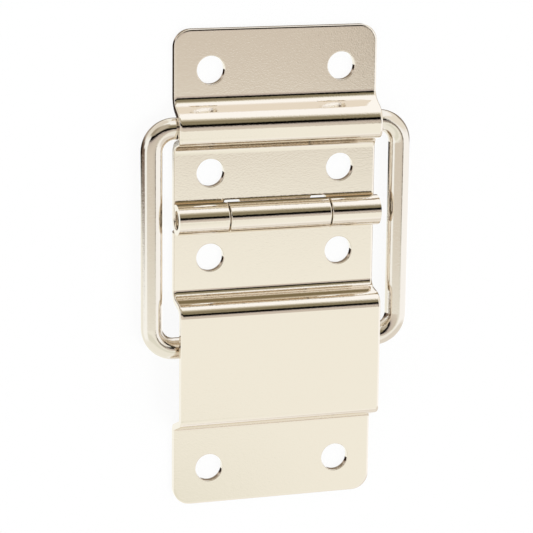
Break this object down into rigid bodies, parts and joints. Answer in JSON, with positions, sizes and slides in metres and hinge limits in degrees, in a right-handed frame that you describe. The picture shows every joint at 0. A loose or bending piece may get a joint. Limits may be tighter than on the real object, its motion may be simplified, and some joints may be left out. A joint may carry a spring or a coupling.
{
  "type": "lid stop hinge",
  "caption": "Surface hinge of two stamped, stepped leaves on a pin, with a wire ring that slides in a channel and stops the lid at a right angle.",
  "frame": {"origin": "centre of the case leaf's four fixing holes, on the mounting plane", "axes": "+X along the hinge pin, +Y from the case leaf to the lid leaf, +Z out of the mounting plane; stored closed, with both leaves in one plane"},
  "size_m": [0.0508, 0.0883, 0.0062],
  "materials": {
    "plated_sheet": "bright nickel plate on stamped steel, faintly rippled at the bends",
    "plated_wire": "bright nickel plate on drawn wire",
    "pin_steel": "cut ends of plated wire"
  },
  "bodies": {
    "case_side": {"case_leaf": "plated_sheet"},
    "lid_side": {"lid_leaf": "plated_sheet", "hinge_pin": "pin_steel"},
    "ring": {"stop_ring": "plated_wire"}
  },
  "joints": [
    {"name": "lid_hinge", "type": "hinge", "parent": "case_side", "child": "lid_side", "pos_m": [0, 0.02755, 0.00279], "axis": [1, 0, 0], "range_deg": [0, 90]},
    {"name": "ring_pivot", "type": "hinge", "parent": "lid_side", "child": "ring", "pos_m": [0, 0.04403, 0.00203], "axis": [1, 0, 0], "range_deg": [-60, 0]}
  ],
  "couplings": [
    {"joint": "ring_pivot", "follows": "lid_hinge", "ratio": -0.645}
  ]
}
